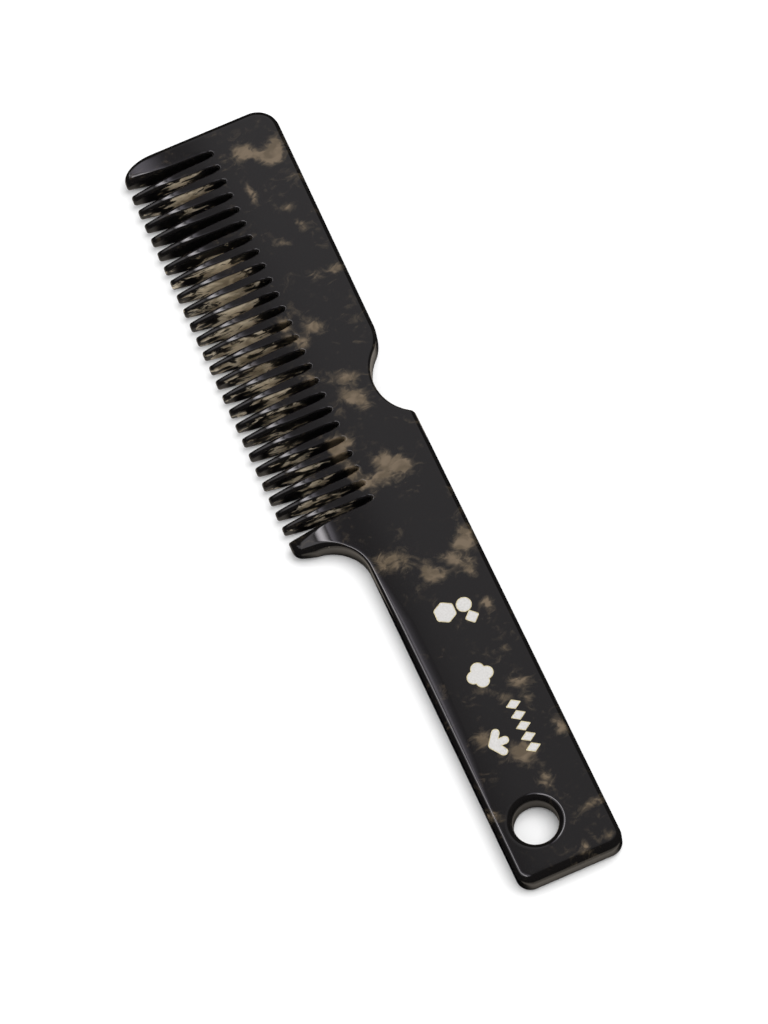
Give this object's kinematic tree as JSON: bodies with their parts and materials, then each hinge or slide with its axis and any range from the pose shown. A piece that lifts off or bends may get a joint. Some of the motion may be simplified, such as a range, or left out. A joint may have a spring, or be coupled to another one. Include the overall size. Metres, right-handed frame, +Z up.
{
  "type": "hair comb",
  "caption": "Flat handle comb of polished tortoiseshell acetate: tapered teeth between two guards, a thumb notch in the spine, a hanging hole and metal inlays.",
  "frame": {"origin": "middle of the underside of the comb's box", "axes": "+X along the comb towards the hanging hole, +Y from the tooth tips to the spine, +Z up through the sheet, inlays on the +Z face"},
  "size_m": [0.16, 0.0316, 0.005],
  "materials": {
    "acetate": "hand-polished tortoiseshell cellulose acetate, near black with olive-brown clouds",
    "inlay_metal": "satin pale silver",
    "bond_resin": "pale gold tinted resin"
  },
  "bodies": {
    "root": {"handle": "acetate", "head_bar": "acetate", "head_guard": "acetate", "tooth_01": "acetate", "tooth_02": "acetate", "tooth_03": "acetate", "tooth_04": "acetate", "tooth_05": "acetate", "tooth_06": "acetate", "tooth_07": "acetate", "tooth_08": "acetate", "tooth_09": "acetate", "tooth_10": "acetate", "tooth_11": "acetate", "tooth_12": "acetate", "tooth_13": "acetate", "tooth_14": "acetate", "tooth_15": "acetate", "tooth_16": "acetate", "tooth_17": "acetate", "tooth_18": "acetate", "tooth_19": "acetate", "tooth_20": "acetate", "tooth_21": "acetate", "tooth_22": "acetate", "tooth_23": "acetate", "tooth_24": "acetate", "throat_guard": "acetate", "disc_inlay": "inlay_metal", "lozenge_inlay": "inlay_metal", "shield_inlay": "inlay_metal", "petal_inlay": "inlay_metal", "diamond_row_inlay": "inlay_metal", "fan_inlay": "inlay_metal", "disc_bond": "bond_resin", "lozenge_bond": "bond_resin", "shield_bond": "bond_resin", "petal_bond": "bond_resin", "diamond_row_bond": "bond_resin", "fan_bond": "bond_resin"}
  },
  "joints": []
}
